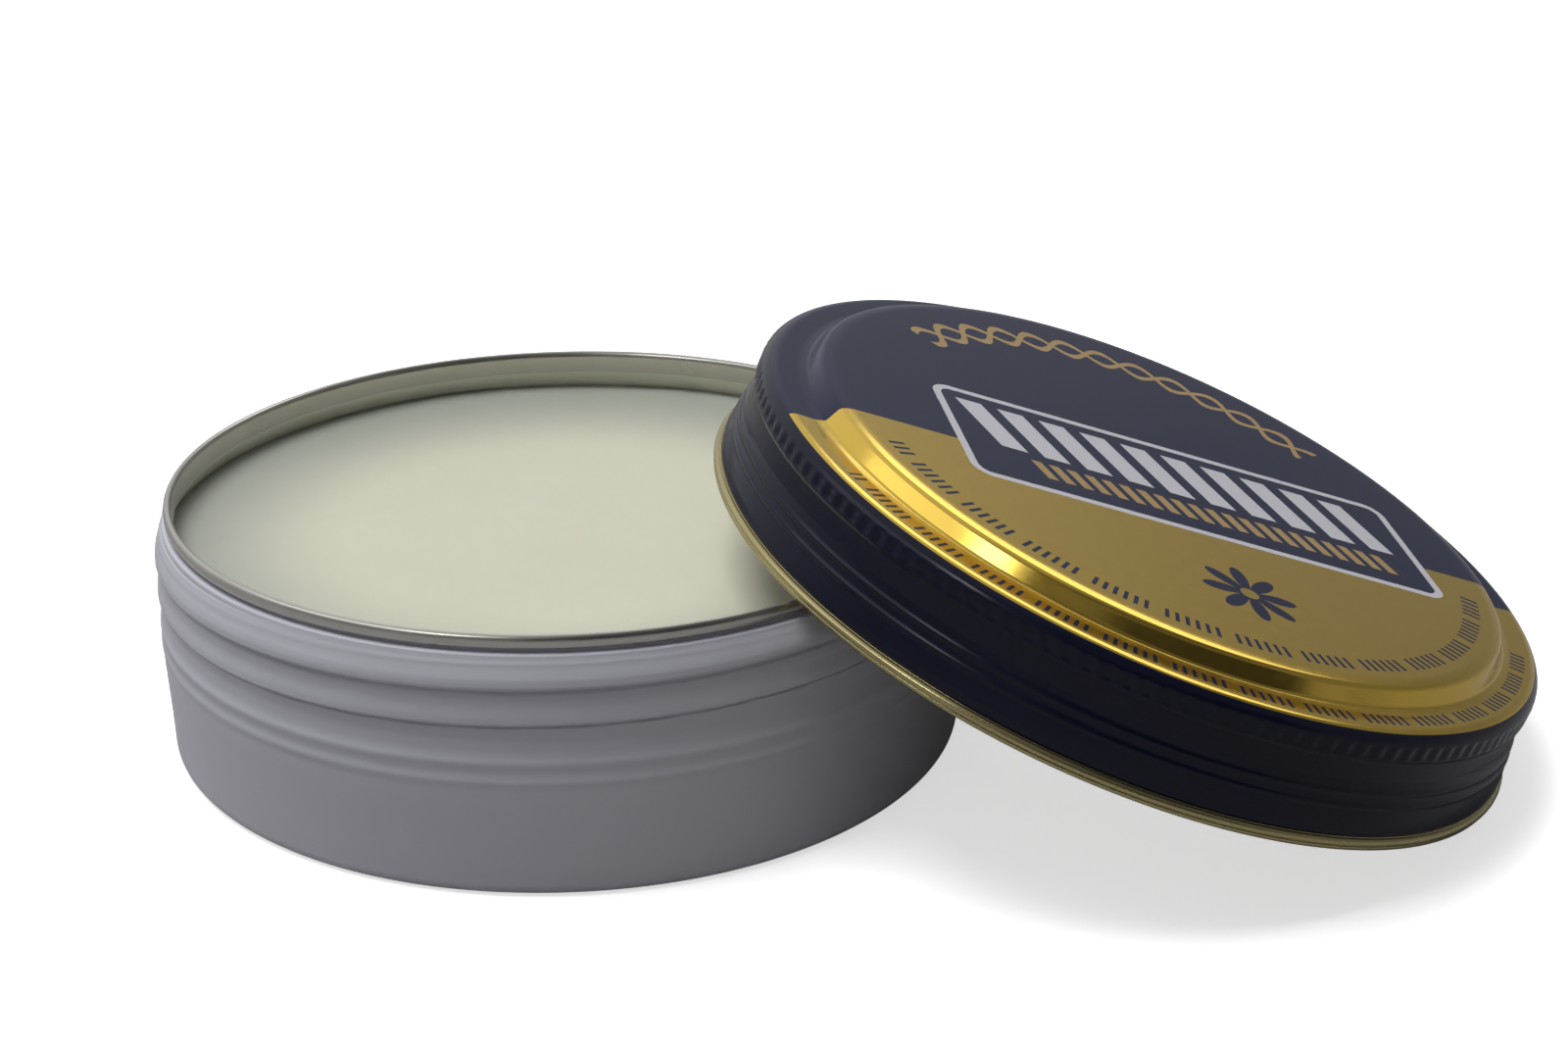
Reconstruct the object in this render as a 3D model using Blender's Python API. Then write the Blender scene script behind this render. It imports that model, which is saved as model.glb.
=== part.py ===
"""Shoe polish tin: a threaded base filled with polish, and its lid leaning on the base's rim.

The base stands at the origin on its flat underside. The lid is off, with its top facing up: its
hem rests on the table at +X and on the base's rim towards -X. Everything is a turned profile.
"""

import math

import bmesh
import bpy

MM = 0.001
SEGMENTS = 88
WALL = 0.55 * MM
GAP = 0.3 * MM

# Base: a drawn shell with a rolled thread and a curled rim.
BASE_HEIGHT = 20.75 * MM
RIM_RADIUS = 32.0 * MM
RIM_INNER_RADIUS = 31.3 * MM
CURL_HEIGHT = 1.3 * MM
NECK_RADIUS = 32.3 * MM
WALL_RADIUS = 32.75 * MM
FOOT_RADIUS = 32.55 * MM
FOOT_CORNER = 0.9 * MM
THREAD_BEAD = 0.3 * MM
THREAD_HEIGHTS = (17.1 * MM, 14.3 * MM)
STOP_BEAD_HEIGHTS = (11.0 * MM, 9.55 * MM)

# Polish: fills the base to 4 mm under the rim.
POLISH_TOP = 16.75 * MM
POLISH_SAG = 0.25 * MM

# Lid, in its own frame: the hem stands on z = 0 and the lid's axis is z.
HEM_RADIUS = 34.25 * MM
HEM_ROUND = 0.5 * MM
SHOULDER_RADIUS = 33.3 * MM
SHOULDER_ROUND = 0.67 * MM
KNURL_BOTTOM = 7.45 * MM
WAIST_RADIUS = 33.15 * MM
WAIST_HEIGHTS = (6.9 * MM, 5.5 * MM)
SKIRT_RADIUS = 33.5 * MM
LID_THREAD_HEIGHT = 3.7 * MM
LID_THREAD_BEAD = 0.25 * MM
SKIRT_INNER_RADIUS = 33.0 * MM
LID_HEIGHT = 9.55 * MM
PANEL_RISE = 1.54 * MM
PANEL_RADIUS = 28.9 * MM
STEP_RADIUS = 29.9 * MM

# Liner: a sealing wad held against the underside of the lid's outer ring.
LINER_RADIUS = 32.2 * MM
LINER_THICKNESS = 1.0 * MM

# Where the lid leans.
LID_TILT = math.radians(21.2)
LID_DISTANCE = 44.56 * MM
TABLE_CLEARANCE = 0.02 * MM

WHITE_LACQUER = (0.55, 0.55, 0.60, 1.0)
NAVY_LACQUER = (0.035, 0.038, 0.070, 1.0)
POLISH_IVORY = (0.62, 0.61, 0.46, 1.0)
LINER_WHITE = (0.72, 0.71, 0.66, 1.0)


def clear_scene():
    for obj in list(bpy.data.objects):
        bpy.data.objects.remove(obj, do_unlink=True)


def material(name, colour, roughness, metallic):
    made = bpy.data.materials.new(name)
    made.use_nodes = True
    shader = made.node_tree.nodes["Principled BSDF"]
    shader.inputs["Base Color"].default_value = colour
    shader.inputs["Roughness"].default_value = roughness
    shader.inputs["Metallic"].default_value = metallic
    return made


def arc(centre_r, centre_z, radius, start, end, steps):
    """Points on a circular arc, with the angles in degrees from outward (+r) towards +z."""
    angles = [math.radians(start + (end - start) * k / steps) for k in range(steps + 1)]
    return [(centre_r + radius * math.cos(a), centre_z + radius * math.sin(a)) for a in angles]


def bead(wall_radius, height, rise, half_width):
    """Three points of a rolled bead that stands `rise` out of the wall, from the top down."""
    return [
        (wall_radius, height + half_width),
        (wall_radius + rise, height),
        (wall_radius, height - half_width),
    ]


def turned(name, profile, surface):
    """Turns a profile about z. It runs from the axis at the top, down the outside, to the axis below."""
    mesh = bpy.data.meshes.new(name)
    shape = bmesh.new()
    points = [shape.verts.new((r, 0.0, z)) for r, z in profile]
    edges = [shape.edges.new(pair) for pair in zip(points, points[1:])]
    bmesh.ops.spin(
        shape,
        geom=points + edges,
        cent=(0.0, 0.0, 0.0),
        axis=(0.0, 0.0, 1.0),
        angle=2.0 * math.pi,
        steps=SEGMENTS,
        use_merge=True,
    )
    bmesh.ops.remove_doubles(shape, verts=shape.verts, dist=1e-6)
    bmesh.ops.recalc_face_normals(shape, faces=shape.faces)
    shape.to_mesh(mesh)
    shape.free()
    mesh.shade_smooth()
    mesh.set_sharp_from_angle(angle=math.radians(40))
    mesh.materials.append(surface)
    obj = bpy.data.objects.new(name, mesh)
    bpy.context.scene.collection.objects.link(obj)
    return obj


def base_profile():
    curl_round = CURL_HEIGHT / 2
    curl_z = BASE_HEIGHT - curl_round
    half_curl = (RIM_RADIUS - RIM_INNER_RADIUS) / 2
    curl_r = RIM_INNER_RADIUS + half_curl
    inside = [
        (0.0, WALL),
        (FOOT_RADIUS - WALL - FOOT_CORNER, WALL),
        (FOOT_RADIUS - WALL, WALL + FOOT_CORNER),
        (WALL_RADIUS - WALL, STOP_BEAD_HEIGHTS[1] - 1.0 * MM),
        (WALL_RADIUS - WALL, THREAD_HEIGHTS[0]),
        (NECK_RADIUS - WALL, BASE_HEIGHT - CURL_HEIGHT - 0.7 * MM),
        (RIM_INNER_RADIUS - 0.08 * MM, BASE_HEIGHT - CURL_HEIGHT),
    ]
    curl = [
        (curl_r + half_curl * math.cos(a), curl_z + curl_round * math.sin(a))
        for a in (math.radians(150 - 30 * k) for k in range(9))
    ]
    outside = [(NECK_RADIUS, BASE_HEIGHT - CURL_HEIGHT - 0.25 * MM)]
    for height in THREAD_HEIGHTS:
        outside += bead(WALL_RADIUS - 0.1 * MM, height, THREAD_BEAD, 0.85 * MM)
    for height in STOP_BEAD_HEIGHTS:
        outside += bead(WALL_RADIUS, height, THREAD_BEAD, 0.5 * MM)
    foot = arc(FOOT_RADIUS - FOOT_CORNER, FOOT_CORNER, FOOT_CORNER, 0, -90, 4)
    return inside + curl + outside + foot + [(0.0, 0.0)]


def polish_profile():
    edge = FOOT_RADIUS - WALL - GAP
    return [
        (0.0, POLISH_TOP - POLISH_SAG),
        (24.0 * MM, POLISH_TOP - POLISH_SAG),
        (30.2 * MM, POLISH_TOP),
        (edge, POLISH_TOP),
        (edge, FOOT_CORNER + WALL + GAP),
        (edge - FOOT_CORNER, WALL + GAP),
        (0.0, WALL + GAP),
    ]


def lid_profile():
    top = LID_HEIGHT + PANEL_RISE
    hem_r = HEM_RADIUS - HEM_ROUND
    outside = [
        (0.0, top),
        (PANEL_RADIUS - 0.5 * MM, top),
        (PANEL_RADIUS, top - 0.25 * MM),
        (STEP_RADIUS - 0.2 * MM, LID_HEIGHT),
        (STEP_RADIUS + 0.3 * MM, LID_HEIGHT - 0.2 * MM),
    ]
    outside += arc(
        SHOULDER_RADIUS - SHOULDER_ROUND, LID_HEIGHT - SHOULDER_ROUND, SHOULDER_ROUND, 90, 0, 3
    )
    outside += [(SHOULDER_RADIUS, KNURL_BOTTOM)]
    outside += [(WAIST_RADIUS, height) for height in WAIST_HEIGHTS]
    outside += bead(SKIRT_RADIUS, LID_THREAD_HEIGHT, LID_THREAD_BEAD, 0.8 * MM)
    hem = arc(hem_r, HEM_ROUND, HEM_ROUND, 90, -180, 9)
    inside = [
        (SKIRT_INNER_RADIUS, 1.3 * MM),
        (SKIRT_INNER_RADIUS, LID_HEIGHT - WALL - 0.5 * MM),
        (SKIRT_INNER_RADIUS - 0.4 * MM, LID_HEIGHT - WALL),
        (STEP_RADIUS + 0.15 * MM - WALL, LID_HEIGHT - WALL),
        (PANEL_RADIUS - WALL, top - WALL),
        (0.0, top - WALL),
    ]
    return outside + hem + inside


def liner_profile():
    top = LID_HEIGHT - WALL - GAP
    return [
        (0.0, top),
        (LINER_RADIUS, top),
        (LINER_RADIUS, top - LINER_THICKNESS),
        (0.0, top - LINER_THICKNESS),
    ]


def leaning_lid_axis():
    """An empty at the centre of the lid's hem, with its z along the lid's axis."""
    hem_reach = (HEM_RADIUS - HEM_ROUND) * math.sin(LID_TILT)
    height = hem_reach + HEM_ROUND - HEM_ROUND * math.cos(LID_TILT) + TABLE_CLEARANCE
    axis = bpy.data.objects.new("lid_axis", None)
    axis.empty_display_size = 10.0 * MM
    axis.location = (LID_DISTANCE, 0.0, height)
    axis.rotation_euler = (0.0, LID_TILT, 0.0)
    bpy.context.scene.collection.objects.link(axis)
    return axis


def build():
    clear_scene()
    white = material("white_lacquer", WHITE_LACQUER, 0.42, 0.0)
    navy = material("navy_lacquer", NAVY_LACQUER, 0.35, 0.2)
    ivory = material("polish_ivory", POLISH_IVORY, 0.38, 0.0)
    wad = material("liner_white", LINER_WHITE, 0.8, 0.0)
    turned("tin_base", base_profile(), white)
    turned("polish_cream", polish_profile(), ivory)
    lid_axis = leaning_lid_axis()
    for name, profile, surface in (
        ("lid_shell", lid_profile(), navy),
        ("lid_liner", liner_profile(), wad),
    ):
        turned(name, profile, surface).parent = lid_axis


build()
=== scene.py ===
"""The shoe polish tin's looks: turned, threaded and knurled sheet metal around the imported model."""

import math

import bmesh
import bpy
from mathutils import Matrix, Vector

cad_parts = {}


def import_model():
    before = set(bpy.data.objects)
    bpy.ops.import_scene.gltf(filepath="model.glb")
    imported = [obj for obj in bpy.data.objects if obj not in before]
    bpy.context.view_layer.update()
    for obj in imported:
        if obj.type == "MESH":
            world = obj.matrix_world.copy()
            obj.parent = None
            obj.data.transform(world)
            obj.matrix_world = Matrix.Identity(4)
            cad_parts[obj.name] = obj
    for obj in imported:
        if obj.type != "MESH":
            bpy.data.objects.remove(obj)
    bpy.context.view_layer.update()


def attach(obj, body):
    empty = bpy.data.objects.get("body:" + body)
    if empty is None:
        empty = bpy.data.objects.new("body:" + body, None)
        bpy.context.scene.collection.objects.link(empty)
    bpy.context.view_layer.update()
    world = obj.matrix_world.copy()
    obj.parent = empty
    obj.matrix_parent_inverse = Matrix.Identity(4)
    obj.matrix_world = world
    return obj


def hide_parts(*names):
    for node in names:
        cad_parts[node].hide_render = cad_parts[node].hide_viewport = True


MM = 0.001

# The base's own axis is the row's z. The lid has its own frame, with its hem on z = 0.
RIM_RADIUS = 32.0 * MM
BASE_HEIGHT = 20.75 * MM
LID_TILT = math.radians(21.2)
LID_CENTRE = Vector((44.56 * MM, 0.0, 12.259 * MM))
LID_HEIGHT = 9.55 * MM
PANEL_RISE = 1.54 * MM
PANEL_EDGE = 27.76 * MM
STEP_FOOT = 30.01 * MM
SHOULDER_RADIUS = 33.3 * MM
KNURL_BOTTOM = 7.35 * MM
LID_RIDGE_HEIGHTS = (4.5 * MM, 3.5 * MM)

# The rolled thread: its crest's height at the front, and its section, as how far it stands out at
# each share of the pitch above a crest. THREAD_GROOVE is the share at which the narrow groove under
# the next crest is deepest, where one turn of the thread gives way to the next.
THREAD_PITCH = 2.83 * MM
THREAD_FRONT_HEIGHT = 17.1 * MM
THREAD_DEPTH = 0.34 * MM
THREAD_GROOVE = 0.83
THREAD_START, THREAD_END = -1.6, 0.95  # in turns, counted from the front
THREAD_SHAPE = (
    (0.0, 1.0),
    (0.06, 0.95),
    (0.55, 0.3),
    (0.74, 0.1),
    (0.83, -0.55),
    (0.96, 0.95),
    (1.0, 1.0),
)
STOP_BEAD_HEIGHTS = (11.0 * MM, 9.55 * MM)
STOP_BEAD_RISE = 0.11 * MM

POLISH_TOP = 16.4 * MM
POLISH_EDGE = 32.05 * MM

KNURLS = 140
KNURL_DEPTH = 0.11 * MM
LID_RIDGE_RISE = 0.1 * MM
LINER_TOP = 8.6 * MM
LINER_THICKNESS = 0.95 * MM

# Finishes, as linear colours, and the wax's painted shade by the wall. Fine noise mixes each pair.
GREY_WHITES = ((0.48, 0.48, 0.53, 1), (0.515, 0.515, 0.565, 1))
BARE_RIMS = ((0.47, 0.455, 0.41, 1), (0.55, 0.535, 0.49, 1))
INNER_LACQUERS = ((0.62, 0.62, 0.52, 1), (0.70, 0.70, 0.59, 1))
WAXES = ((0.55, 0.545, 0.42, 1), (0.6, 0.595, 0.475, 1))
# Painted shade: the grey the wax turns near the wall, where the wall shades it.
WAX_WALL_SHADE = (0.31, 0.33, 0.295, 1)
NAVIES = ((0.004, 0.005, 0.014, 1), (0.0055, 0.0065, 0.018, 1))
FOAMS = ((0.62, 0.61, 0.56, 1), (0.74, 0.73, 0.68, 1))
HEM_GOLD = (0.46, 0.40, 0.20, 1)
INSIDE_GOLD = (0.66, 0.52, 0.22, 1)

# Print on the lid's top, which is turned about the lid's axis.
PRINT_TURN = math.radians(18.1)
GOLD = (0.72, 0.495, 0.09, 1)
PRINT_NAVY = (0.007, 0.010, 0.036, 1)
PRINT_BRONZE = (0.34, 0.23, 0.09, 1)
PRINT_SILVER = (0.50, 0.50, 0.53, 1)

# The camera's distance is in rim radii, and its angles are in radians.
CAMERA_DISTANCE = 7.362
CAMERA_ELEVATION = 0.4487
CAMERA_TURN = math.radians(11.8)
CAMERA_SWING = (0.0858, 0.0638)  # how far it looks to the right of and above the base's middle
CAMERA_ROLL = 0.0016
CAMERA_LENS = 63.77

# How bright the room is against the height of the direction, and the glow against how near it is.
ROOM_LEVELS = ((0.0, 0.32), (0.25, 0.18), (0.5, 0.2), (0.8, 0.07), (1.0, 0.07))
GLOW_LEVELS = ((0.0, 0.0), (0.34, 0.0), (0.46, 0.07), (0.9, 0.62), (1.0, 0.72))
GLOW_DIRECTION = (-0.5, 0.45, 0.74)

# The window overhead, and the lights that only gloss reflects, each with its azimuth and elevation
# from the lid in degrees, its size in metres and its watts. The dark card stands in the same way.
WINDOW_PLACE = (-0.17, -0.07, 0.75)
WINDOW_SIZE = (0.36, 0.36)
WINDOW_POWER = 4.4
GLOSS_LIGHT_DISTANCE = 0.75
GLOSS_LIGHTS = (
    ("left_window", -152, 46, (0.8, 0.3), 0.68),
    ("left_window_core", -124, 48, (0.15, 0.15), 0.42),
    ("back_window", 62, 45, (0.5, 0.3), 0.74),
)
CARD_BEARING = (-62, 20)
CARD_DISTANCE = 0.5
CARD_HALF_SIZE = (0.33, 0.13)

FLOOR_REACH = 3.0
BACKDROP_RADIUS = 2.9
BACKDROP_HEIGHT = 4.0


# ---------------------------------------------------------------- meshes


def turned_mesh(name, profile, columns, surfaces, offset=None):
    """Turns a profile of (r, z, tag) about z. surfaces gives the material of each tag, and
    offset(angle, r, z, tag) how far out and up a point is moved from the profile."""
    mesh = bpy.data.meshes.new(name)
    shape = bmesh.new()
    rings = [[shape.verts.new(p) for p in ring] for ring in turned_rings(profile, columns, offset)]
    order = list(dict.fromkeys(surfaces.values()))
    for surface in order:
        mesh.materials.append(surface)
    for upper, lower, (_, _, tag) in zip(rings, rings[1:], profile[1:]):
        for k in range(columns):
            n = (k + 1) % columns
            if len(upper) == 1:
                face = shape.faces.new((upper[0], lower[k], lower[n]))
            elif len(lower) == 1:
                face = shape.faces.new((upper[k], lower[0], upper[n]))
            else:
                face = shape.faces.new((upper[k], lower[k], lower[n], upper[n]))
            face.material_index = order.index(surfaces[tag])
    shape.to_mesh(mesh)
    shape.free()
    mesh.shade_smooth()
    return mesh


def link(name, mesh, placement=None):
    """Adds an object. A placed mesh keeps its own coordinates in the attribute "own"."""
    own = mesh.attributes.new("own", "FLOAT_VECTOR", "POINT")
    for vertex, kept in zip(mesh.vertices, own.data):
        kept.vector = vertex.co
    if placement is not None:
        mesh.transform(placement)
    obj = bpy.data.objects.new(name, mesh)
    bpy.context.scene.collection.objects.link(obj)
    return obj


def turned_rings(profile, columns, offset=None):
    """The rings of points of a turned profile; a radius of zero gives a ring of one point."""
    rings = []
    for r, z, tag in profile:
        if r < 1e-7:
            rings.append([(0.0, 0.0, z)])
            continue
        ring = []
        for k in range(columns):
            angle = 2.0 * math.pi * k / columns
            dr, dz = offset(angle, r, z, tag) if offset else (0.0, 0.0)
            ring.append(((r + dr) * math.cos(angle), (r + dr) * math.sin(angle), z + dz))
        rings.append(ring)
    return rings


def smooth_step(low, high, value):
    t = min(1.0, max(0.0, (value - low) / (high - low)))
    return t * t * (3.0 - 2.0 * t)


def between(points, step):
    """Points along a polyline of (r, z), no further apart than step."""
    dense = [points[0]]
    for (r0, z0), (r1, z1) in zip(points, points[1:]):
        count = max(1, math.ceil(math.hypot(r1 - r0, z1 - z0) / step))
        dense += [(r0 + (r1 - r0) * k / count, z0 + (z1 - z0) * k / count) for k in range(1, count + 1)]
    return dense


def arc(centre_r, centre_z, radius, start, end, steps, flat=1.0):
    """Points on an arc, in degrees from outward towards +z. flat scales it along r."""
    angles = [math.radians(start + (end - start) * k / steps) for k in range(steps + 1)]
    return [
        (centre_r + flat * radius * math.cos(a), centre_z + radius * math.sin(a)) for a in angles
    ]


def in_mm(points):
    """Points of (r, z) that are given in millimetres."""
    return [(r * MM, z * MM) for r, z in points]


def tagged(points, tag):
    return [(r, z, tag) for r, z in points]


def lid_placement():
    return Matrix.Translation(LID_CENTRE) @ Matrix.Rotation(LID_TILT, 4, "Y")


def follow(points, value):
    """The smooth curve through points of (value, level)."""
    for (v0, level0), (v1, level1) in zip(points, points[1:]):
        if value <= v1:
            return level0 + (level1 - level0) * smooth_step(v0, v1, value)
    return points[-1][1]


def thread_bump(angle, z):
    """How far the rolled right-handed thread stands out at this angle and height, in its depths."""
    turned = (angle / (2.0 * math.pi) + 0.25) % 1.0
    turns = (z - THREAD_FRONT_HEIGHT) / THREAD_PITCH - turned
    below = math.floor(turns)
    above_crest = turns - below
    along = turned + below + (1 if above_crest > THREAD_GROOVE else 0)
    runs = smooth_step(THREAD_START, THREAD_START + 0.3, along)
    runs *= 1.0 - smooth_step(THREAD_END - 0.19, THREAD_END, along)
    return follow(THREAD_SHAPE, above_crest) * runs


# ---------------------------------------------------------------- base


def base_offset(angle, r, z, tag):
    """The thread, and the two low beads below it."""
    if tag != "wall":
        return 0.0, 0.0
    out = THREAD_DEPTH * thread_bump(angle, z) * (1.0 - smooth_step(18.7 * MM, 19.2 * MM, z))
    for height in STOP_BEAD_HEIGHTS:
        out += STOP_BEAD_RISE * math.exp(-(((z - height) / (0.42 * MM)) ** 2))
    return out, 0.0


def make_base(materials):
    curl = arc(31.66 * MM, BASE_HEIGHT - 0.55 * MM, 0.55 * MM, 200, -75, 22, 0.62)
    inside = in_mm([(0.0, 0.6), (31.0, 0.6), (31.9, 1.5), (32.15, 9.0), (32.1, 17.5), (31.3, 18.9)])
    neck = [(31.52, 19.6), (31.55, 19.44), (32.0, 19.41), (32.18, 19.33), (32.26, 19.1), (32.35, 18.7)]
    neck += [(32.47, 18.2), (32.56, 17.7), (32.6, 17.2), (32.62, 12.8)]
    wall = [(32.62, 12.8), (32.72, 11.9), (32.84, 11.2), (32.88, 8.6), (32.86, 7.8)]
    wall += [(32.76, 6.0), (32.66, 4.0), (32.55, 1.1)]
    foot = arc(31.65 * MM, 0.9 * MM, 0.9 * MM, 0, -90, 8)
    below = in_mm([(30.0, 0.0), (0.0, 0.0)])

    threaded = between([curl[-1]] + in_mm(neck), 0.08 * MM)[1:]
    plain = between(in_mm(wall), 0.16 * MM)[1:]
    profile = tagged(between(inside + [curl[0]], 1.2 * MM)[:-1], "inside") + tagged(curl, "curl")
    profile += tagged(threaded + plain, "wall")
    profile += tagged(foot, "foot") + tagged(between(below, 4.0 * MM), "under")

    surfaces = dict.fromkeys(("wall", "foot", "under"), materials["white"])
    surfaces |= {"curl": materials["rim"], "inside": materials["inside"]}
    obj = link("base_shell", turned_mesh("base_shell", profile, 360, surfaces, base_offset))
    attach(obj, "base")
    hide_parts("tin_base")
    return obj


# ---------------------------------------------------------------- polish


def polish_height(x, y, radius):
    """The polish's surface: nearly level, and dished up towards the wall over a wide edge."""
    sag = -0.1 * MM * (1.0 - (radius / (31.8 * MM)) ** 2)
    climb = 0.9 * MM * max(0.0, (radius - 23.5 * MM) / (8.2 * MM)) ** 2.2
    ripple = 0.05 * MM * math.sin(x / (7.1 * MM) + 1.3) * math.sin(y / (8.3 * MM) + 0.4)
    ripple += 0.025 * MM * math.sin(x / (3.1 * MM) - y / (4.7 * MM))
    return sag + climb + ripple


def make_polish(materials):
    surface = [(POLISH_EDGE * k / 60, POLISH_TOP) for k in range(61)]
    side = [(POLISH_EDGE, z * MM) for z in (17.1, 12.0, 9.5)]
    side += in_mm([(31.75, 2.0), (31.0, 1.0), (0.0, 1.0)])
    profile = tagged(surface, "top") + tagged(side, "side")

    def offset(angle, r, z, tag):
        if tag != "top":
            return 0.0, 0.0
        return 0.0, polish_height(r * math.cos(angle), r * math.sin(angle), r)

    surfaces = dict.fromkeys(("top", "side"), materials["polish"])
    obj = link("polish_fill", turned_mesh("polish_fill", profile, 240, surfaces, offset))
    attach(obj, "base")
    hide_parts("polish_cream")
    return obj


# ---------------------------------------------------------------- lid


def lid_outline():
    """The lid's profile, from the middle of its top down the outside, round the hem and up inside."""
    top = LID_HEIGHT + PANEL_RISE
    panel = [(r, top) for r in (0.0, 8.0 * MM, 16.0 * MM, 24.0 * MM, PANEL_EDGE)]
    edge = arc(PANEL_EDGE, top - 4.0 * MM, 4.0 * MM, 90, 75, 6)
    edge += arc(PANEL_EDGE + 0.885 * MM, top - 0.72 * MM, 0.6 * MM, 75, 28, 7)[1:]
    foot = arc(STEP_FOOT, LID_HEIGHT + 0.38 * MM, 0.4 * MM, 208, 255, 6)
    foot += arc(STEP_FOOT + 0.68 * MM, LID_HEIGHT + 2.9 * MM, 3.0 * MM, 255, 270, 6)[1:]
    shoulder = arc(SHOULDER_RADIUS - 1.3 * MM, LID_HEIGHT - 1.35 * MM, 1.3 * MM, 90, 0, 15)
    top_part = panel + between(edge + foot, 0.14 * MM)[1:] + shoulder[:6]
    band = between(shoulder[5:] + [(SHOULDER_RADIUS, KNURL_BOTTOM)], 0.13 * MM)[1:]
    skirt = [(33.3, 7.4), (33.2, 7.1), (33.17, 6.5), (33.16, 5.4), (33.24, 4.9), (33.4, 4.0)]
    skirt += [(33.55, 3.2), (33.7, 2.5), (33.8, 1.9), (33.84, 1.3), (33.76, 1.05)]
    hem = arc(33.84 * MM, 0.65 * MM, 0.36 * MM, 95, -30, 10) + [(33.92 * MM, 0.43 * MM)]
    hem += arc(33.8 * MM, 0.28 * MM, 0.28 * MM, 25, -180, 14)
    inner = [(33.3, 1.0), (32.75, 2.6), (32.65, 6.6), (32.75, 7.4), (32.75, 8.2), (32.2, 8.75)]
    inner += [(29.3, 8.85), (28.5, 10.1), (27.9, 10.45), (0.0, 10.5)]
    outline = tagged(top_part, "top") + tagged(band, "band")
    outline += tagged(between(in_mm(skirt), 0.1 * MM)[1:], "skirt") + tagged(hem, "hem")
    return outline + tagged(between([hem[-1]] + in_mm(inner), 0.8 * MM)[1:], "inner")


def lid_offset(angle, r, z, tag):
    """The knurls on the shoulder band, and the lid's own thread as two low ridges in the skirt."""
    if tag == "band":
        depth = smooth_step(KNURL_BOTTOM, 7.7 * MM, z) * (1.0 - smooth_step(8.3 * MM, 8.75 * MM, z))
        groove = 0.5 + 0.5 * math.cos(KNURLS * angle)
        return -KNURL_DEPTH * depth * groove, 0.0
    if tag == "skirt":
        heights = LID_RIDGE_HEIGHTS
        ridges = sum(math.exp(-(((z - height) / (0.19 * MM)) ** 2)) for height in heights)
        return LID_RIDGE_RISE * ridges, 0.0
    return 0.0, 0.0


def make_lid(materials):
    surfaces = dict.fromkeys(("band", "skirt"), materials["navy"])
    surfaces |= {"top": materials["lid_print"], "hem": materials["gold"]}
    surfaces |= {"inner": materials["inside_gold"]}
    mesh = turned_mesh("lid", lid_outline(), KNURLS * 8, surfaces, lid_offset)
    obj = link("lid", mesh, lid_placement())
    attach(obj, "lid")
    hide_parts("lid_shell")
    return obj


def make_liner(materials):
    low = LINER_TOP - LINER_THICKNESS
    outline = [(0.0, LINER_TOP), (31.4 * MM, LINER_TOP), (31.55 * MM, LINER_TOP - 0.15 * MM)]
    outline += [(31.55 * MM, low + 0.2 * MM), (31.4 * MM, low), (31.38 * MM, low + 0.02 * MM)]
    outline += [(31.1 * MM, low), (0.0, low)]
    mesh = turned_mesh("sealing_wad", tagged(outline, "wad"), 180, {"wad": materials["wad"]})
    obj = link("sealing_wad", mesh, lid_placement())
    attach(obj, "liner")
    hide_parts("lid_liner")
    return obj


# ---------------------------------------------------------------- materials


class Nodes:
    """Short ways to add nodes to one material, which starts with a Principled shader."""

    def __init__(self, name):
        self.material = bpy.data.materials.new(name)
        self.material.use_nodes = True
        self.tree = self.material.node_tree
        self.shader = self.tree.nodes["Principled BSDF"]

    def add(self, kind, **values):
        node = self.tree.nodes.new(kind)
        for key, value in values.items():
            setattr(node, key, value)
        return node

    def link(self, source, target):
        self.tree.links.new(source, target)

    def put(self, value, socket):
        """A number or colour is set on the socket, and a socket is linked to it."""
        if isinstance(value, bpy.types.NodeSocket):
            self.link(value, socket)
        else:
            socket.default_value = value

    def math(self, operation, *values):
        node = self.add("ShaderNodeMath", operation=operation)
        for value, socket in zip(values, node.inputs):
            self.put(value, socket)
        return node.outputs[0]

    def length(self, first, second):
        squares = [self.math("MULTIPLY", value, value) for value in (first, second)]
        return self.math("SQRT", self.math("ADD", *squares))

    def noise(self, scale, detail=3.0):
        node = self.add("ShaderNodeTexNoise")
        node.inputs["Scale"].default_value = scale
        node.inputs["Detail"].default_value = detail
        self.link(self.place(), node.inputs["Vector"])
        return node.outputs["Fac"]

    def place(self):
        """The piece's own coordinates, which stay with it wherever it is put."""
        return self.add("ShaderNodeAttribute", attribute_name="own").outputs["Vector"]

    def axes(self):
        split = self.add("ShaderNodeSeparateXYZ")
        self.link(self.place(), split.inputs[0])
        return split.outputs

    def spread(self, value, low, high):
        """Stretches a value of 0.3 to 0.7 over low to high."""
        node = self.add("ShaderNodeMapRange")
        node.inputs["From Min"].default_value = 0.3
        node.inputs["From Max"].default_value = 0.7
        node.inputs["To Min"].default_value = low
        node.inputs["To Max"].default_value = high
        self.link(value, node.inputs["Value"])
        return node.outputs[0]

    def mix(self, factor, first, second):
        node = self.add("ShaderNodeMix", data_type="RGBA")
        self.put(factor, node.inputs[0])
        self.put(first, node.inputs[6])
        self.put(second, node.inputs[7])
        return node.outputs[2]

    def bump(self, height, distance, strength=1.0):
        node = self.add("ShaderNodeBump")
        node.inputs["Distance"].default_value = distance
        node.inputs["Strength"].default_value = strength
        self.link(height, node.inputs["Height"])
        self.link(node.outputs[0], self.shader.inputs["Normal"])

    def set(self, **values):
        """Sets or links the shader's sockets by their names, with _ for a space."""
        for key, value in values.items():
            self.put(value, self.shader.inputs[key.replace("_", " ")])


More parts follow.
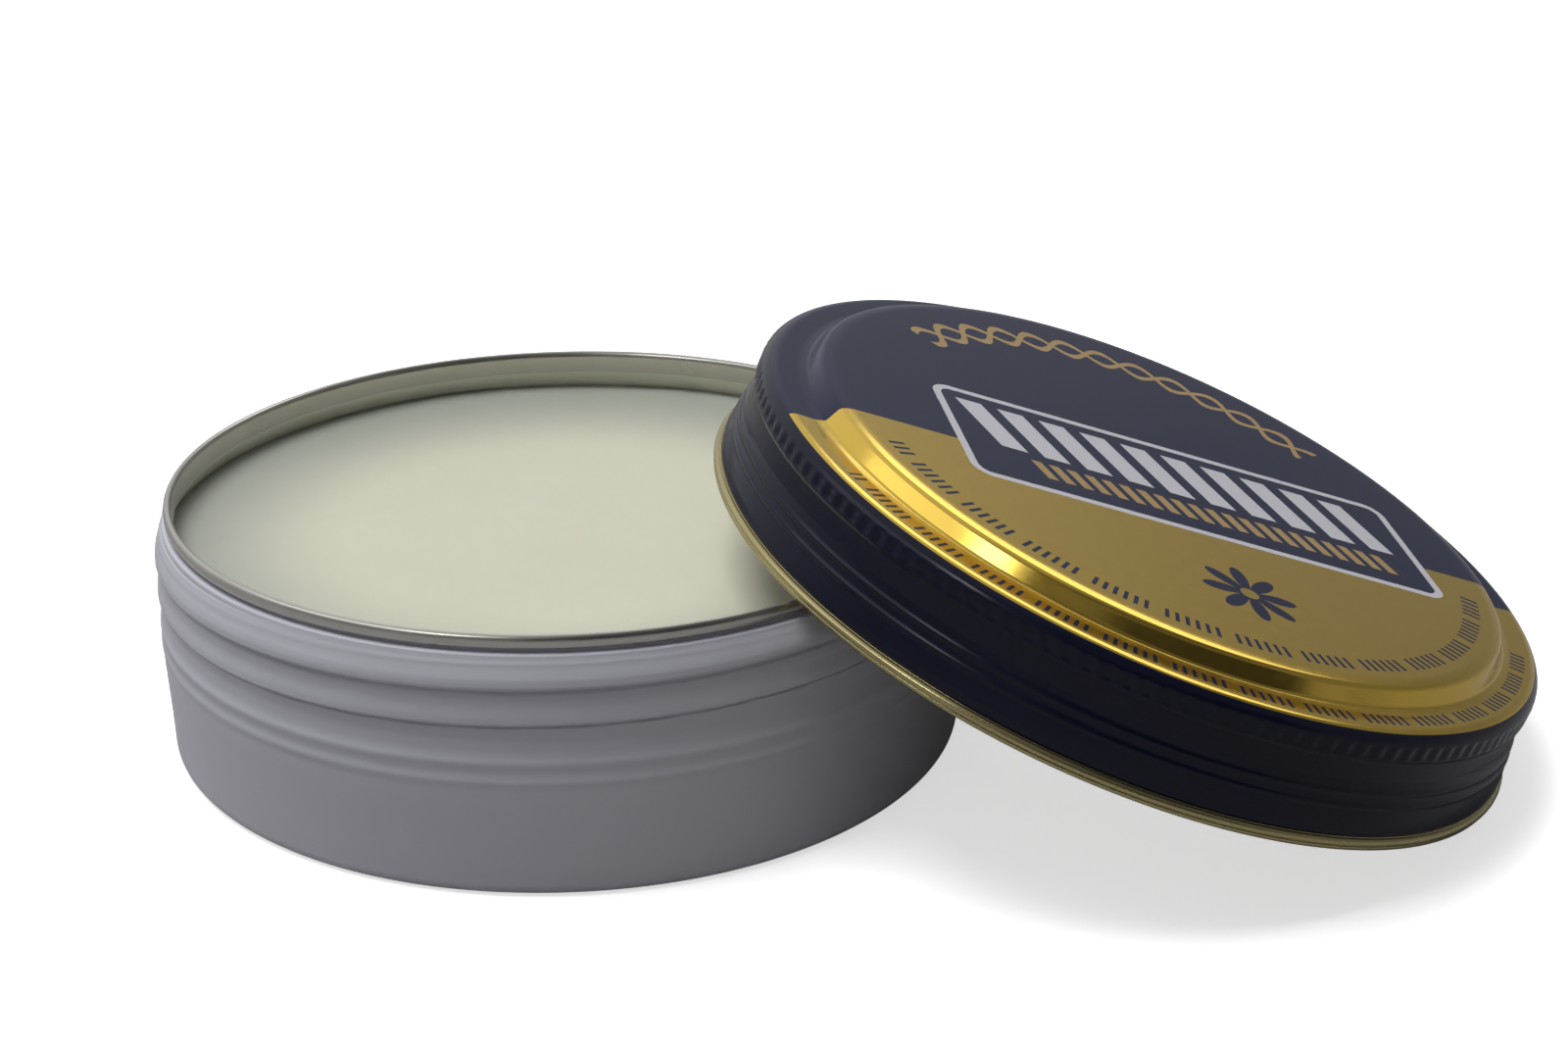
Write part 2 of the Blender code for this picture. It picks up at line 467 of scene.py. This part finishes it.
def white_lacquer():
    n = Nodes("white_lacquer")
    n.set(
        Base_Color=n.mix(n.noise(90.0, 4.0), *GREY_WHITES),
        Roughness=n.spread(n.noise(400.0, 4.0), 0.3, 0.4),
    )
    n.bump(n.noise(1300.0, 2.0), 0.004 * MM, 0.3)
    return n.material


def rim_metal():
    n = Nodes("rim_metal")
    n.set(
        Base_Color=n.mix(n.noise(300.0), *BARE_RIMS),
        Metallic=1.0,
        Roughness=n.spread(n.noise(300.0, 2.0), 0.27, 0.32),
    )
    n.bump(n.noise(500.0, 2.0), 0.001 * MM, 0.2)
    return n.material


def inner_lacquer():
    n = Nodes("inner_lacquer")
    n.set(
        Base_Color=n.mix(n.noise(150.0), *INNER_LACQUERS),
        Metallic=0.25,
        Roughness=n.spread(n.noise(300.0, 2.0), 0.34, 0.4),
    )
    n.bump(n.noise(500.0, 2.0), 0.001 * MM, 0.2)
    return n.material


def polish_wax():
    """Ivory wax, with painted shade that greys it towards the wall."""
    n = Nodes("polish_wax")
    x, y, _ = n.axes()
    # The grey mixed in towards the wall is painted shade, set by the distance from the middle.
    edge = n.add("ShaderNodeMapRange", interpolation_type="SMOOTHSTEP")
    n.put(n.length(x, y), edge.inputs["Value"])
    edge.inputs["From Min"].default_value = 17.0 * MM
    edge.inputs["From Max"].default_value = 31.7 * MM
    edge.inputs["To Max"].default_value = 0.85
    n.set(
        Base_Color=n.mix(edge.outputs[0], n.mix(n.noise(60.0, 4.0), *WAXES), WAX_WALL_SHADE),
        Roughness=n.spread(n.noise(220.0, 5.0), 0.34, 0.46),
        Subsurface_Weight=0.35,
        Subsurface_Radius=(0.9, 0.8, 0.5),
        Subsurface_Scale=2.0 * MM,
    )
    n.bump(n.noise(420.0, 5.0), 0.04 * MM, 0.5)
    return n.material


def navy_lacquer():
    n = Nodes("navy_lacquer")
    n.set(
        Base_Color=n.mix(n.noise(200.0), *NAVIES),
        Roughness=n.spread(n.noise(500.0, 4.0), 0.14, 0.22),
        Specular_IOR_Level=0.22,
    )
    n.bump(n.noise(1200.0, 2.0), 0.002 * MM, 0.3)
    return n.material


def gold_lacquer(name, colour, roughness):
    """Gold lacquer over tinplate, a little darker in places."""
    n = Nodes(name)
    dark = (colour[0] * 0.9, colour[1] * 0.88, colour[2] * 0.85, 1)
    n.set(
        Base_Color=n.mix(n.noise(250.0), dark, colour),
        Metallic=0.95,
        Roughness=n.spread(n.noise(300.0, 2.0), roughness - 0.02, roughness + 0.03),
    )
    n.bump(n.noise(1200.0, 2.0), 0.002 * MM, 0.3)
    return n.material


class Print(Nodes):
    """Flat print on the lid's top. Its axes run along and across the line between gold and navy."""

    def __init__(self, name):
        super().__init__(name)
        x, y, _ = self.axes()
        cos, sin = math.cos(PRINT_TURN), math.sin(PRINT_TURN)
        x_cos, y_cos = (self.math("MULTIPLY", value, cos) for value in (x, y))
        x_sin, y_sin = (self.math("MULTIPLY", value, sin) for value in (x, y))
        self.along = self.math("ADD", x_cos, y_sin)
        self.across = self.math("SUBTRACT", y_cos, x_sin)
        self.radius = self.length(self.along, self.across)
        self.angle = self.math("ARCTAN2", self.across, self.along)

    def all_of(self, *masks):
        found = masks[0]
        for mask in masks[1:]:
            found = self.math("MULTIPLY", found, mask)
        return found

    def any_of(self, *masks):
        found = masks[0]
        for mask in masks[1:]:
            found = self.math("MAXIMUM", found, mask)
        return found

    def near(self, value, middle, half_width):
        off = self.math("ABSOLUTE", self.math("SUBTRACT", value, middle))
        return self.math("LESS_THAN", off, half_width)

    def repeats(self, value, pitch, share):
        """1 over the first share of every pitch, and 0 over the rest."""
        return self.math("LESS_THAN", self.math("FRACT", self.math("DIVIDE", value, pitch)), share)

    def box_distance(self, middle, half, rounding):
        """Distance outside a rounded box, negative inside it."""
        past = []
        for value, centre, reach in zip((self.along, self.across), middle, half):
            off = self.math("ABSOLUTE", self.math("SUBTRACT", value, centre))
            past.append(self.math("SUBTRACT", off, reach - rounding))
        outside = self.length(*(self.math("MAXIMUM", value, 0.0) for value in past))
        inside = self.math("MINIMUM", self.math("MAXIMUM", *past), 0.0)
        return self.math("SUBTRACT", self.math("ADD", outside, inside), rounding)

    def ticks(self, radius, height, reach, pitch):
        """A ring of short upright dashes in groups, centred on the gold side."""
        side = self.math("MULTIPLY", self.angle, -1.0)
        return self.all_of(
            self.near(self.radius, radius, height / 2),
            self.near(side, math.pi / 2, reach),
            self.repeats(self.angle, pitch, 0.42),
            self.repeats(self.angle, pitch * 7.0, 0.84),
        )

    def bars(self, height, half_height, half_width, pitch, share):
        """A row of slanted bars at this height across, as wide as their share of the pitch."""
        middle = 0.06 * RIM_RADIUS
        slanted = self.math("ADD", self.along, self.math("MULTIPLY", self.across, 0.3))
        from_left = self.math("ADD", slanted, half_width - middle)
        return self.all_of(
            self.near(self.across, height, half_height),
            self.near(slanted, middle, half_width),
            self.repeats(from_left, pitch, share),
        )

    def rope(self, radius, swing, half_width, middle, reach):
        """Two strands that wind round each other along an arc."""
        wave = self.math("MULTIPLY", self.math("SINE", self.math("MULTIPLY", self.angle, 22.0)), swing)
        strands = [
            self.near(self.math(side, self.radius, wave), radius, half_width)
            for side in ("ADD", "SUBTRACT")
        ]
        return self.all_of(self.any_of(*strands), self.near(self.angle, middle, reach))

    def rosette(self, along, across, reach, hole):
        """A flower of eight petals with an open middle."""
        off_along = self.math("SUBTRACT", self.along, along)
        off_across = self.math("SUBTRACT", self.across, across)
        angle = self.math("ARCTAN2", off_across, off_along)
        radius = self.length(off_along, off_across)
        petals = self.math("ABSOLUTE", self.math("COSINE", self.math("MULTIPLY", angle, 4.0)))
        share = self.math("ADD", self.math("MULTIPLY", petals, 0.75), 0.25)
        return self.all_of(
            self.math("LESS_THAN", radius, self.math("MULTIPLY", share, reach)),
            self.math("GREATER_THAN", radius, hole),
        )


def lid_print():
    """Navy and gold print divided by a straight line, with a framed badge of plain slanted bars."""
    n = Print("lid_print")
    rim = RIM_RADIUS
    is_navy = n.math("GREATER_THAN", n.across, -0.112 * rim)
    badge = n.box_distance((0.058 * rim, -0.036 * rim), (0.655 * rim, 0.248 * rim), 0.055 * rim)
    in_badge = n.math("LESS_THAN", badge, 0.0)
    navy_field = n.any_of(is_navy, in_badge)

    frame_line = n.near(badge, -0.011 * rim, 0.011 * rim)
    bars = n.bars(0.035 * rim, 0.115 * rim, 0.555 * rim, 0.1156 * rim, 0.62)
    small_bars = n.bars(-0.16 * rim, 0.042 * rim, 0.5 * rim, 0.0476 * rim, 0.58)
    rope = n.rope(0.735 * rim, 0.042 * rim, 0.013 * rim, math.radians(87), math.radians(50))
    silver_marks = n.any_of(frame_line, bars)
    bronze_marks = n.any_of(n.all_of(small_bars, in_badge), rope)
    dark_marks = n.any_of(
        n.ticks(0.825 * rim, 0.046 * rim, math.radians(74), 0.030),
        n.ticks(0.972 * rim, 0.038 * rim, math.radians(68), 0.024),
        n.rosette(0.04 * rim, -0.56 * rim, 0.125 * rim, 0.024 * rim),
    )

    is_dark = n.any_of(navy_field, dark_marks)
    ground = n.mix(is_dark, GOLD, PRINT_NAVY)
    colour = n.mix(bronze_marks, ground, PRINT_BRONZE)
    colour = n.mix(silver_marks, colour, PRINT_SILVER)
    gold_field = n.math("SUBTRACT", 1.0, is_dark)
    n.set(
        Base_Color=colour,
        Metallic=n.math("MULTIPLY", gold_field, 0.95),
        Roughness=n.spread(n.noise(900.0, 3.0), 0.13, 0.19),
        Specular_IOR_Level=0.22,
    )
    n.bump(n.noise(1200.0, 2.0), 0.002 * MM, 0.3)
    return n.material


def liner_foam():
    n = Nodes("liner_foam")
    n.set(
        Base_Color=n.mix(n.noise(900.0, 4.0), *FOAMS),
        Roughness=0.85,
    )
    n.bump(n.noise(2600.0, 4.0), 0.06 * MM, 0.8)
    return n.material


# ---------------------------------------------------------------- stage


def aim(obj, target):
    direction = (Vector(target) - obj.location).normalized()
    obj.rotation_euler = direction.to_track_quat("-Z", "Y").to_euler()


def area_light(name, location, target, size, power):
    data = bpy.data.lights.new(name, "AREA")
    data.shape = "RECTANGLE"
    data.size, data.size_y = size
    data.energy = power
    obj = bpy.data.objects.new(name, data)
    bpy.context.scene.collection.objects.link(obj)
    obj.location = location
    aim(obj, target)
    return obj


def make_camera():
    """The camera's distance, elevation and turn are from the middle of the base's underside."""
    distance = CAMERA_DISTANCE * RIM_RADIUS
    flat = distance * math.cos(CAMERA_ELEVATION)
    data = bpy.data.cameras.new("camera")
    data.lens = CAMERA_LENS
    data.sensor_width = 36.0
    data.clip_start = 0.01
    camera = bpy.data.objects.new("camera", data)
    bpy.context.scene.collection.objects.link(camera)
    camera.location = (
        flat * math.sin(CAMERA_TURN),
        -flat * math.cos(CAMERA_TURN),
        distance * math.sin(CAMERA_ELEVATION),
    )
    look_down = CAMERA_ELEVATION - CAMERA_SWING[1]
    heading = CAMERA_SWING[0] - CAMERA_TURN
    camera.rotation_euler = (math.pi / 2 - look_down, CAMERA_ROLL, -heading)
    bpy.context.scene.camera = camera


def add_floor(name, height, level, glow):
    """A level sheet of paper that is this light, and glows this much."""
    corners = [
        (x * FLOOR_REACH, y * FLOOR_REACH, height) for x, y in ((-1, -1), (1, -1), (1, 1), (-1, 1))
    ]
    mesh = bpy.data.meshes.new(name)
    mesh.from_pydata(corners, [], [(0, 1, 2, 3)])
    floor = link(name, mesh)
    n = Nodes(name + "_paper")
    n.set(
        Base_Color=n.mix(n.noise(20.0), (level - 0.01,) * 3 + (1,), (level + 0.01,) * 3 + (1,)),
        Roughness=0.8,
        Emission_Color=(1, 1, 1, 1),
        Emission_Strength=glow,
    )
    mesh.materials.append(n.material)
    return floor


def make_backdrop():
    """A white wall all round, which only the camera sees behind the floor."""
    mesh = bpy.data.meshes.new("backdrop")
    shape = bmesh.new()
    bmesh.ops.create_cone(
        shape,
        segments=96,
        radius1=BACKDROP_RADIUS,
        radius2=BACKDROP_RADIUS,
        depth=BACKDROP_HEIGHT,
        cap_ends=False,
    )
    bmesh.ops.translate(shape, verts=shape.verts, vec=(0.0, 0.0, BACKDROP_HEIGHT / 2 - 0.01))
    shape.to_mesh(mesh)
    shape.free()
    wall = link("backdrop", mesh)
    n = Nodes("backdrop_paper")
    n.set(Base_Color=(0, 0, 0, 1), Roughness=1.0)
    n.set(Emission_Color=(1, 1, 1, 1), Emission_Strength=0.97)
    mesh.materials.append(n.material)
    wall.visible_diffuse = wall.visible_glossy = wall.visible_shadow = False


def make_floor():
    """A white floor for the camera, and a greyer one just under it that lights the tin from below."""
    white = add_floor("floor", 0.0, 0.75, 0.62)
    white.visible_diffuse = white.visible_glossy = white.visible_shadow = False
    grey = add_floor("floor_bounce", -0.2 * MM, 0.34, 0.0)
    grey.visible_camera = False


def make_world():
    """A dim room, darkest overhead and in front, with a broad soft glow from behind on the left."""
    world = bpy.data.worlds.new("studio")
    world.use_nodes = True
    bpy.context.scene.world = world
    tree = world.node_tree
    direction = tree.nodes.new("ShaderNodeTexCoord").outputs["Generated"]
    split = tree.nodes.new("ShaderNodeSeparateXYZ")
    towards = tree.nodes.new("ShaderNodeVectorMath")
    towards.operation = "DOT_PRODUCT"
    towards.inputs[1].default_value = GLOW_DIRECTION
    tree.links.new(direction, split.inputs[0])
    tree.links.new(direction, towards.inputs[0])
    room = level_ramp(tree, split.outputs["Z"], ROOM_LEVELS)
    glow = level_ramp(tree, towards.outputs["Value"], GLOW_LEVELS)
    total = tree.nodes.new("ShaderNodeMix")
    total.data_type = "RGBA"
    total.blend_type = "ADD"
    total.inputs[0].default_value = 1.0
    tree.links.new(room, total.inputs[6])
    tree.links.new(glow, total.inputs[7])
    tree.links.new(total.outputs[2], tree.nodes["Background"].inputs["Color"])
    tree.nodes["Background"].inputs["Strength"].default_value = 1.0


def level_ramp(tree, value, stops):
    """Grey levels through the stops. A new ramp already has its first and last element."""
    ramp = tree.nodes.new("ShaderNodeValToRGB")
    tree.links.new(value, ramp.inputs[0])
    for position, _ in stops[2:]:
        ramp.color_ramp.elements.new(position)
    for element, (position, level) in zip(ramp.color_ramp.elements, stops):
        element.position = position
        element.color = (level, level, level * 1.04, 1)
    return ramp.outputs[0]


def bearing(azimuth, elevation):
    """The unit vector at an azimuth from +x and an elevation, both in degrees."""
    across, up = math.radians(azimuth), math.radians(elevation)
    return Vector((math.cos(up) * math.cos(across), math.cos(up) * math.sin(across), math.sin(up)))


def make_lights():
    """One soft window overhead gives the shading, and the other lights give only reflections."""
    window = area_light("window", WINDOW_PLACE, (0.0, 0.0, 0.0), WINDOW_SIZE, WINDOW_POWER)
    window.visible_glossy = False
    for name, azimuth, elevation, size, power in GLOSS_LIGHTS:
        place = LID_CENTRE + GLOSS_LIGHT_DISTANCE * bearing(azimuth, elevation)
        area_light(name, place, LID_CENTRE, size, power).visible_diffuse = False


def make_dark_card():
    """A dark card in front of the tin, seen only by gloss, as the dark side of the room."""
    towards = bearing(*CARD_BEARING)
    side = towards.cross(Vector((0.0, 0.0, 1.0))).normalized()
    up = side.cross(towards)
    middle = LID_CENTRE + CARD_DISTANCE * towards
    half_width, half_height = CARD_HALF_SIZE
    corners = [
        middle + half_width * across * side + half_height * above * up
        for across, above in ((-1, -1), (1, -1), (1, 1), (-1, 1))
    ]
    mesh = bpy.data.meshes.new("dark_card")
    mesh.from_pydata(corners, [], [(0, 1, 2, 3)])
    card = link("dark_card", mesh)
    n = Nodes("dark_card")
    n.set(Base_Color=(0.02, 0.02, 0.02, 1), Roughness=0.9)
    mesh.materials.append(n.material)
    card.visible_camera = card.visible_diffuse = card.visible_shadow = False


def main():
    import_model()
    materials = {
        "white": white_lacquer(),
        "rim": rim_metal(),
        "inside": inner_lacquer(),
        "polish": polish_wax(),
        "lid_print": lid_print(),
        "navy": navy_lacquer(),
        "gold": gold_lacquer("hem_gold", HEM_GOLD, 0.26),
        "inside_gold": gold_lacquer("inside_gold", INSIDE_GOLD, 0.34),
        "wad": liner_foam(),
    }
    make_camera()
    make_base(materials)
    make_polish(materials)
    make_lid(materials)
    make_liner(materials)
    make_floor()
    make_backdrop()
    make_world()
    make_lights()
    make_dark_card()
    bpy.context.scene.view_settings.view_transform = "Standard"
    bpy.context.view_layer.update()


main()
